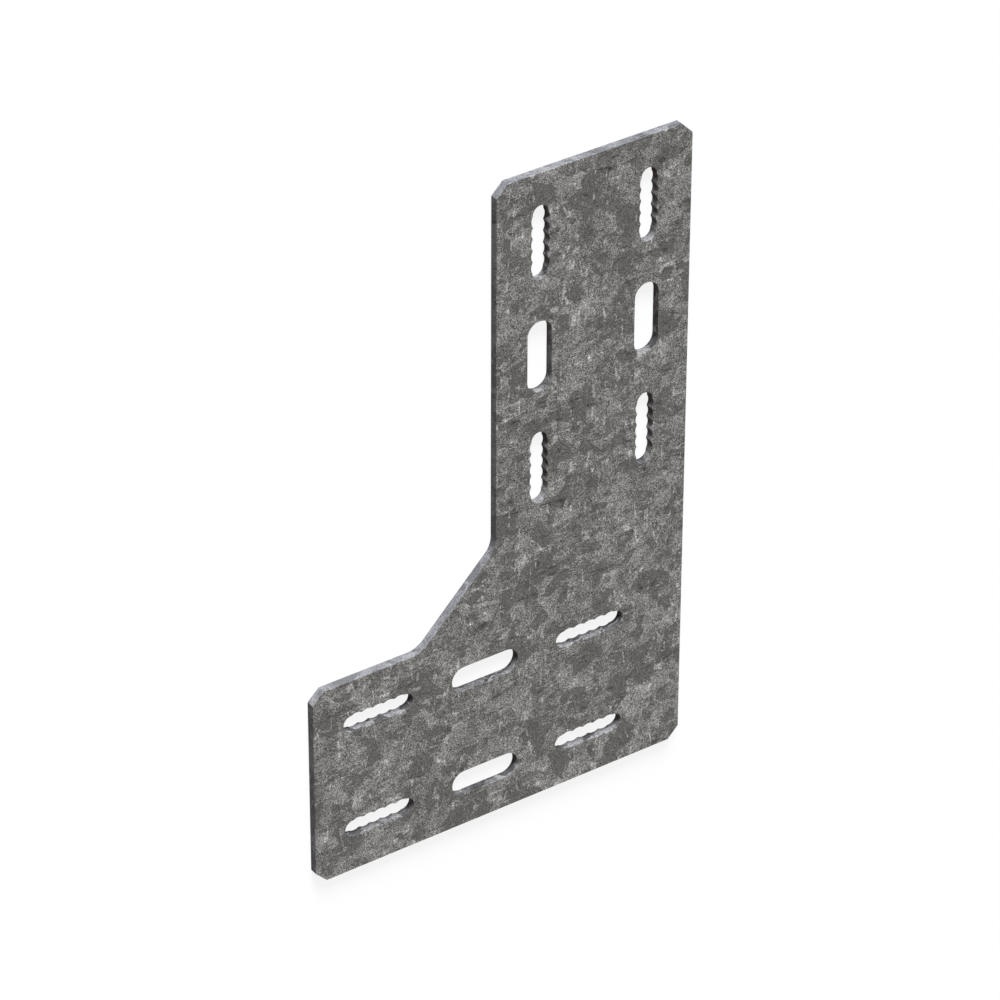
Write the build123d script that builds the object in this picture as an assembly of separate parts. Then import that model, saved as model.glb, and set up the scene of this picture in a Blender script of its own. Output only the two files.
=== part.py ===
"""An L-shaped connector plate: one flat piece of hot-dip galvanised steel, with slots for bolts along both legs.

X runs along the base leg, Y up the tall leg and Z out of the front face. The plate lies on its back face at z = 0,
with the origin in the middle of its length and width.
"""
from build123d import *
import os

# Outline of the plate
plate_width = 280.0
plate_height = 456.0
plate_thickness = 6.0
tall_leg_width = 144.0
base_leg_width = 144.0
corner_cut = 8.0
gusset_size = 56.0
gusset_end_radius = 16.0
edge_break = 0.2

# Slots of each leg: two lines of three slots, counted from the leg's free end
first_slot_from_end = 48.0
slot_pitch = 80.0
slot_line_spacing = 80.0

# Plain slot, the middle one of each line
plain_slot_length = 50.0
plain_slot_width = 18.0

# Toothed slot, the outer two of each line: a narrow slot opened by round seats for the bolt
toothed_slot_length = 51.5
toothed_slot_width = 11.5
bolt_seat_diameter = 13.5
bolt_seat_pitch = 8.0
bolt_seats = 5

# Edges of the outline, from the origin
right = plate_width / 2
left = -plate_width / 2
top = plate_height / 2
bottom = -plate_height / 2
tall_leg_left = right - tall_leg_width
base_leg_top = bottom + base_leg_width


def plate_outline():
    """The L with a slanting gusset in its inner corner and its outer corners cut off."""
    outer_corners = [
        (right, bottom),
        (right, top),
        (tall_leg_left, top),
        (left, base_leg_top),
        (left, bottom),
    ]
    gusset_ends = [
        (tall_leg_left, base_leg_top + gusset_size),
        (tall_leg_left - gusset_size, base_leg_top),
    ]
    loop = outer_corners[:3] + gusset_ends + outer_corners[3:]
    outline = make_face(Polyline(*loop, close=True))
    for end in gusset_ends:
        outline = fillet(outline.vertices().sort_by_distance(end)[0], gusset_end_radius)
    for corner in outer_corners:
        outline = chamfer(outline.vertices().sort_by_distance(corner)[0], corner_cut)
    return outline


def plain_slot():
    return SlotOverall(plain_slot_length, plain_slot_width)


def toothed_slot():
    """A narrow slot with bolt seats at even steps about its centre, which leave blunt teeth between them."""
    slot = SlotOverall(toothed_slot_length, toothed_slot_width)
    for number in range(bolt_seats):
        place = (number - (bolt_seats - 1) / 2) * bolt_seat_pitch
        slot += Pos(place, 0) * Circle(bolt_seat_diameter / 2)
    return slot


def leg_slots(free_end):
    """The six slots of a leg. The location is the middle of its free end, with X pointing into the leg."""
    slots = []
    for number, slot in enumerate([toothed_slot(), plain_slot(), toothed_slot()]):
        along = first_slot_from_end + number * slot_pitch
        for side in (-1, 1):
            slots.append(free_end * Pos(along, side * slot_line_spacing / 2) * slot)
    return slots


base_leg_end = Pos(left, bottom + base_leg_width / 2)
tall_leg_end = Pos(right - tall_leg_width / 2, top) * Rot(0, 0, -90)

# The blank, cut through by the slots of both legs
flat_shape = plate_outline() - leg_slots(base_leg_end) - leg_slots(tall_leg_end)
plate = extrude(flat_shape, plate_thickness)

# Every edge of both faces is broken, so that the zinc coating holds on it
face_edges = plate.edges().filter_by(Axis.Z, reverse=True)
plate = chamfer(face_edges, edge_break)

os.makedirs("parts", exist_ok=True)
export_step(plate, "parts/connector_plate.step")
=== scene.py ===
import bmesh
import bpy
import math
from mathutils.bvhtree import BVHTree
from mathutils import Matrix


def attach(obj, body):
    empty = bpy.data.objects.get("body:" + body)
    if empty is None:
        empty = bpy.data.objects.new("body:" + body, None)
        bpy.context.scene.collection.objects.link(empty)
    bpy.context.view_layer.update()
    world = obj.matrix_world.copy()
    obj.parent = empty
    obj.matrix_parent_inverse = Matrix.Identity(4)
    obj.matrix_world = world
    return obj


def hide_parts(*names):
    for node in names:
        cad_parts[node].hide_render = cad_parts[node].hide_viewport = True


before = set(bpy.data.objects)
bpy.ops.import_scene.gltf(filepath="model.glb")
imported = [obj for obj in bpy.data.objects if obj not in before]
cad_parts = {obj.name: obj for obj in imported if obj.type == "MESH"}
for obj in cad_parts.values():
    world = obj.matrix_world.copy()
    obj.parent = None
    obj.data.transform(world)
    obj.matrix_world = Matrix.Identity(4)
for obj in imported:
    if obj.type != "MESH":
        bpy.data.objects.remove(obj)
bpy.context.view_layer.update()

# The plate. One flat piece of 6 mm steel, cut to the L with its slots, its edges broken, and dipped in molten zinc.
# The coating follows the cut steel all over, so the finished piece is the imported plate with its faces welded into
# one skin, and its broken edges are shaded as the soft rounds that the zinc leaves on them.
weld_distance = 0.000002
corner_angle = math.radians(20)
cut_steel = bmesh.new()
cut_steel.from_mesh(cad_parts["connector_plate"].data)
bmesh.ops.remove_doubles(cut_steel, verts=cut_steel.verts, dist=weld_distance)
cut_steel.normal_update()
for skin_face in cut_steel.faces:
    skin_face.smooth = True

# A slope is 2 on a face of the plate, 1 on a broken edge and 0 on a wall. A corner between two alike stays sharp
for edge in cut_steel.edges:
    if len(edge.link_faces) == 2 and edge.calc_face_angle() > corner_angle:
        slopes = [round(2 * abs(side.normal.z)) for side in edge.link_faces]
        edge.smooth = slopes[0] != slopes[1]

# A wall that looks straight at another one is inside a slot, where painted shade darkens the zinc
steepest_slope = 0.5
clear_of_wall = 0.0001
longest_look = 0.06
skin_tree = BVHTree.FromBMesh(cut_steel)
slot_mark = cut_steel.faces.layers.float.new("in_a_slot")
for wall in cut_steel.faces:
    if abs(wall.normal.z) < steepest_slope:
        start = wall.calc_center_median() + wall.normal * clear_of_wall
        wall[slot_mark] = float(skin_tree.ray_cast(start, wall.normal, longest_look)[0] is not None)
plate_mesh = bpy.data.meshes.new("galvanised_plate")
cut_steel.to_mesh(plate_mesh)
cut_steel.free()

plate = bpy.data.objects.new("galvanised_plate", plate_mesh)
bpy.context.scene.collection.objects.link(plate)
soft_edges = plate.modifiers.new("soft_edges", "WEIGHTED_NORMAL")
soft_edges.mode = "FACE_AREA"
soft_edges.keep_sharp = True
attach(plate, "root")
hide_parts("connector_plate")

# The zinc coating. It froze in dull grey flakes with crisp scalloped borders, dark smooth ones and paler grainy
# ones that overlap like scales, crossed here and there by thin bright strokes, under a fine speckle.
zinc = bpy.data.materials.new("hot_dip_zinc")
zinc.use_nodes = True
zinc_nodes = zinc.node_tree.nodes
zinc_links = zinc.node_tree.links
zinc_nodes.clear()


def zinc_node(kind, inputs, **settings):
    """A node of the zinc's material. Its inputs are named or numbered, and hold a value or another's output."""
    made = zinc_nodes.new(kind)
    for name, value in settings.items():
        setattr(made, name, value)
    for name, value in inputs.items():
        if isinstance(value, bpy.types.NodeSocket):
            zinc_links.new(value, made.inputs[name])
        else:
            made.inputs[name].default_value = value
    return made


def arithmetic(operation, *values):
    return zinc_node("ShaderNodeMath", dict(enumerate(values)), operation=operation).outputs[0]


def spread(value, low, high, to_low, to_high):
    """The value's range from low to high, spread over another range and held inside it."""
    inputs = {"Value": value, "From Min": low, "From Max": high, "To Min": to_low, "To Max": to_high}
    return zinc_node("ShaderNodeMapRange", inputs).outputs["Result"]


def blend(share, first, second):
    return zinc_node("ShaderNodeMix", {0: share, 2: first, 3: second}, data_type="FLOAT").outputs[0]


def shifted(point, offset, scale=(1.0, 1.0, 1.0)):
    return zinc_node("ShaderNodeMapping", {"Vector": point, "Location": offset, "Scale": scale}).outputs[0]


def clouds(point, size, detail, roughness=0.5):
    """Soft noise whose lumps are about the size given, in millimetres."""
    inputs = {"Vector": point, "Scale": 1 / size, "Detail": detail, "Roughness": roughness}
    return zinc_node("ShaderNodeTexNoise", inputs)


def wandering(point, size, reach):
    """The point pushed about by up to half the reach, so that borders drawn from it are uneven."""
    middle = (0.5, 0.5, 0.5)
    noise = clouds(point, size, detail=1.0, roughness=0.4).outputs["Color"]
    push = zinc_node("ShaderNodeVectorMath", {0: noise, 1: middle}, operation="SUBTRACT").outputs[0]
    inputs = {0: push, 1: (reach, reach, reach), 2: point}
    return zinc_node("ShaderNodeVectorMath", inputs, operation="MULTIPLY_ADD").outputs[0]


def flakes(point, size, offset):
    """A chance from 0 to 1 for each flake of about the size given, in millimetres."""
    cells = zinc_node("ShaderNodeTexVoronoi", {"Vector": shifted(point, offset), "Scale": 1 / size})
    return zinc_node("ShaderNodeSeparateColor", {"Color": cells.outputs["Color"]}).outputs["Red"]


def strokes(point, offset, scale, width):
    """Short broken lines along the axis whose scale is small, from 0 beside them to 1 along their middle."""
    middle = 0.5
    first_place, full_place = 0.53, 0.62
    run = clouds(shifted(point, offset, scale), size=9.0, detail=1.0, roughness=0.4).outputs["Fac"]
    line = spread(arithmetic("ABSOLUTE", arithmetic("SUBTRACT", run, middle)), 0.0, width, 1.0, 0.0)
    places = clouds(shifted(point, offset), size=8.0, detail=2.0).outputs["Fac"]
    return arithmetic("MULTIPLY", line, spread(places, first_place, full_place, 0.0, 1.0))


# Places on the plate are in millimetres, and the flakes' borders are drawn on places pushed about
millimetre = 0.001
on_plate = zinc_node("ShaderNodeTexCoord", {}).outputs["Object"]
here = zinc_node("ShaderNodeVectorMath", {0: on_plate, "Scale": 1 / millimetre}, operation="SCALE").outputs[0]
ragged = wandering(wandering(here, size=6.0, reach=4.0), size=2.4, reach=0.8)

# Tones are written as they look on a screen, from 0 for black to 1 for white, and turned to light at the end
cloud_range = (0.25, 0.75)
ground_tones = (0.458, 0.520)
tone = spread(clouds(here, size=9.0, detail=2.0).outputs["Fac"], *cloud_range, *ground_tones)

# Flakes of crystal lie over each other, in four sizes. About a third of each size are darker than what they lie on,
# by up to the change given, and a third are paler
darker_below, paler_above = 0.35, 0.65
for size, offset, change in [
    (17.0, (13.0, 5.0, 1.0), 0.032),
    (11.0, (41.0, 7.0, 2.0), 0.053),
    (7.0, (29.0, 91.0, 3.0), 0.055),
    (4.5, (14.0, 52.0, 8.0), 0.030),
]:
    chance = flakes(ragged, size, offset)
    tone = arithmetic("ADD", tone, spread(chance, 0.0, darker_below, -change, 0.0))
    tone = arithmetic("ADD", tone, spread(chance, paler_above, 1.0, 0.0, change))

# A few flakes are smooth and dark
dark_tone = 0.400
dark_cover = 0.92
border_step = 0.02
for size, offset, dark_above in [(8.5, (63.0, 29.0, 4.0), 0.87), (16.0, (17.0, 83.0, 9.0), 0.84)]:
    dark = spread(flakes(ragged, size, offset), dark_above, dark_above + border_step, 0.0, dark_cover)
    tone = blend(dark, tone, dark_tone)

# Bright and dark strokes run along and across the plate
stroke_width = 0.032
up_the_plate = (1.0, 0.14, 1.0)
across_the_plate = (0.14, 1.0, 1.0)
for offset, scale, change in [
    ((5.0, 71.0, 3.0), up_the_plate, 0.24),
    ((57.0, 13.0, 6.0), across_the_plate, 0.19),
    ((23.0, 37.0, 8.0), across_the_plate, -0.13),
]:
    tone = arithmetic("MULTIPLY_ADD", strokes(here, offset, scale, stroke_width), change, tone)

# Fine grains are strong on the pale flakes and faint on the dark ones, and half as strong on the cut walls. Most are
# close to the tone of their flake, and few stand out
dark_flake, pale_flake = 0.40, 0.47
faint_grain, strong_grain = 0.10, 0.215
wall_share = 0.5
grain_power = 3.0
facing = zinc_node("ShaderNodeSeparateXYZ", {0: zinc_node("ShaderNodeNewGeometry", {}).outputs["True Normal"]})
flatness = arithmetic("ABSOLUTE", facing.outputs["Z"])
grain_depth = arithmetic("MULTIPLY", spread(tone, dark_flake, pale_flake, faint_grain, strong_grain),
                         spread(flatness, 0.0, 1.0, wall_share, 1.0))
grain_chance = flakes(here, size=0.48, offset=(7.0, 3.0, 2.0))
grains = arithmetic("POWER", spread(grain_chance, 0.0, 1.0, -1.0, 1.0), grain_power)

# The skin is slightly uneven: the grains and soft swells stand a few hundredths of a millimetre proud
grain_height = 0.03
swell_height = 0.12
swells = clouds(here, size=3.0, detail=2.0, roughness=0.6).outputs["Fac"]
relief = arithmetic("MULTIPLY_ADD", grains, grain_height, arithmetic("MULTIPLY", swells, swell_height))
uneven = zinc_node("ShaderNodeBump", {"Height": relief, "Strength": 1.0, "Distance": millimetre}).outputs[0]

# A softer speckle lies over the grains
speckle_reach = 1.5
speckle = clouds(here, size=0.7, detail=0.0).outputs["Fac"]
speckle = spread(speckle, 0.0, 1.0, -speckle_reach, speckle_reach)
grit = arithmetic("MULTIPLY", arithmetic("ADD", grains, speckle), grain_depth)

# The outer walls are more even than the faces, and a little paler with painted light. Those inside the slots are
# blotchier, and darker with painted shade
outer_contrast, outer_painted_light = 0.8, 0.115
slot_contrast, slot_painted_shade = 1.7, -0.376
palest_wall = 0.56
in_a_slot = zinc_node("ShaderNodeAttribute", {}, attribute_name="in_a_slot").outputs["Fac"]
# Painted light: the outer walls are paler than the faces
outer_lit_tone = arithmetic("MULTIPLY_ADD", tone, outer_contrast, outer_painted_light)
# Painted shade: the walls inside the slots are darker than the faces
slot_shaded_tone = arithmetic("MULTIPLY_ADD", tone, slot_contrast, slot_painted_shade)
wall_tone = arithmetic("MINIMUM", blend(in_a_slot, outer_lit_tone, slot_shaded_tone), palest_wall)
tone = arithmetic("ADD", blend(flatness, wall_tone, tone), grit)

# The grey is slightly warm on the faces, less so inside the slots, and hardly on the outer walls. The coolness of
# the walls is painted cool light, and the extra warmth in the slots is painted shade
outer_red, slot_shade_red = 0.006, 0.010
outer_wall_cool_light, slot_wall_cool_light, face_blue = 0.014, 0.006, -0.0085
blue_share = 0.975
screen_gamma = 2.2
red = arithmetic("ADD", tone, spread(in_a_slot, 0.0, 1.0, outer_red, slot_shade_red))
# Painted cool light on the walls, weaker inside the slots
blue_shift = blend(flatness, spread(in_a_slot, 0.0, 1.0, outer_wall_cool_light, slot_wall_cool_light), face_blue)
blue = arithmetic("MULTIPLY_ADD", tone, blue_share, blue_shift)
grey = zinc_node("ShaderNodeCombineColor", {"Red": red, "Green": tone, "Blue": blue}).outputs[0]
as_light = zinc_node("ShaderNodeGamma", {"Color": grey, "Gamma": screen_gamma}).outputs[0]
wall_roughness, face_roughness = 0.9, 0.7
skin = zinc_node("ShaderNodeBsdfPrincipled", {
    "Base Color": as_light,
    "Roughness": spread(flatness, 0.0, 1.0, wall_roughness, face_roughness),
    "Specular IOR Level": 0.2,
    "Normal": uneven,
})
zinc_node("ShaderNodeOutputMaterial", {"Surface": skin.outputs[0]})
plate.data.materials.clear()
plate.data.materials.append(zinc)

# The floor. A plain pale sheet that the plate lies on by its back face, wide enough to fill every view. It shows
# white and keeps the plate's soft shadow, and throws little light back up on the plate's walls.
floor_half_width = 20.0
seen_grey = (0.18, 0.18, 0.18, 1.0)
seen_glow = 0.86
dull_grey = (0.06, 0.06, 0.06, 1.0)
floor_form = bmesh.new()
bmesh.ops.create_grid(floor_form, x_segments=1, y_segments=1, size=floor_half_width)
floor_mesh = bpy.data.meshes.new("floor")
floor_form.to_mesh(floor_mesh)
floor_form.free()
floor = bpy.data.objects.new("floor", floor_mesh)
bpy.context.scene.collection.objects.link(floor)

floor_sheet = bpy.data.materials.new("floor_sheet")
floor_sheet.use_nodes = True
sheet_nodes = floor_sheet.node_tree.nodes
sheet_links = floor_sheet.node_tree.links
sheet_nodes.clear()
seen_sheet = sheet_nodes.new("ShaderNodeBsdfDiffuse")
seen_sheet.inputs["Color"].default_value = seen_grey
sheet_glow = sheet_nodes.new("ShaderNodeEmission")
sheet_glow.inputs["Strength"].default_value = seen_glow
glowing_sheet = sheet_nodes.new("ShaderNodeAddShader")
sheet_links.new(seen_sheet.outputs[0], glowing_sheet.inputs[0])
sheet_links.new(sheet_glow.outputs[0], glowing_sheet.inputs[1])
dull_sheet = sheet_nodes.new("ShaderNodeBsdfDiffuse")
dull_sheet.inputs["Color"].default_value = dull_grey


def rays_that_see(nodes, links):
    """1 for what the camera sees, itself or in a reflection, and 0 for the light that falls on the plate."""
    ray = nodes.new("ShaderNodeLightPath")
    seen = ray.outputs["Is Camera Ray"]
    for other_way in ("Is Glossy Ray", "Is Transmission Ray"):
        either = nodes.new("ShaderNodeMath")
        either.operation = "MAXIMUM"
        links.new(seen, either.inputs[0])
        links.new(ray.outputs[other_way], either.inputs[1])
        seen = either.outputs[0]
    return seen


sheet_choice = sheet_nodes.new("ShaderNodeMixShader")
sheet_links.new(rays_that_see(sheet_nodes, sheet_links), sheet_choice.inputs[0])
sheet_links.new(dull_sheet.outputs[0], sheet_choice.inputs[1])
sheet_links.new(glowing_sheet.outputs[0], sheet_choice.inputs[2])
sheet_end = sheet_nodes.new("ShaderNodeOutputMaterial")
sheet_links.new(sheet_choice.outputs[0], sheet_end.inputs["Surface"])
floor_mesh.materials.append(floor_sheet)

# The studio light: a broad cool light low beyond the tall leg's end, which lights the walls that face it, and a dim
# warm surround. The camera and the reflections see white beyond the floor.
light_strength = 5.6
light_breadth = math.radians(24.0)
light_colour = (0.94, 1.0, 1.087)
light_height = math.radians(20.0)
light_bearing = math.radians(95.0)
surround_colour = (1.0, 0.85, 0.81, 1.0)
surround_strength = 0.21
white = (1.0, 1.0, 1.0, 1.0)
end_light_data = bpy.data.lights.new("end_light", "SUN")
end_light_data.energy = light_strength
end_light_data.angle = light_breadth
end_light_data.color = light_colour
end_light = bpy.data.objects.new("end_light", end_light_data)
end_light.rotation_euler = (math.radians(90.0) - light_height, 0.0, math.radians(90.0) + light_bearing)
end_light.visible_glossy = False
bpy.context.scene.collection.objects.link(end_light)

surround = bpy.data.worlds.new("surround")
surround.use_nodes = True
surround_nodes = surround.node_tree.nodes
surround_links = surround.node_tree.links
surround_nodes.clear()
dim_surround = surround_nodes.new("ShaderNodeBackground")
dim_surround.inputs["Color"].default_value = surround_colour
dim_surround.inputs["Strength"].default_value = surround_strength
white_surround = surround_nodes.new("ShaderNodeBackground")
white_surround.inputs["Color"].default_value = white
surround_choice = surround_nodes.new("ShaderNodeMixShader")
surround_links.new(rays_that_see(surround_nodes, surround_links), surround_choice.inputs[0])
surround_links.new(dim_surround.outputs[0], surround_choice.inputs[1])
surround_links.new(white_surround.outputs[0], surround_choice.inputs[2])
surround_end = surround_nodes.new("ShaderNodeOutputWorld")
surround_links.new(surround_choice.outputs[0], surround_end.inputs["Surface"])
bpy.context.scene.world = surround

# The camera. It looks down on the plate from the open side of the L, turned so that the tall leg stands upright in
# the picture.
camera_place = (-1.561, 1.7942, 2.2396)
camera_turn = (math.radians(-33.3535), math.radians(-34.8434), math.radians(0.159))
camera_data = bpy.data.cameras.new("camera")
camera_data.sensor_width = 36.0
camera_data.lens = 191.592
camera_data.clip_end = 50.0
camera = bpy.data.objects.new("camera", camera_data)
camera.location = camera_place
camera.rotation_euler = camera_turn
bpy.context.scene.collection.objects.link(camera)
bpy.context.scene.camera = camera
bpy.context.scene.view_settings.view_transform = "Standard"
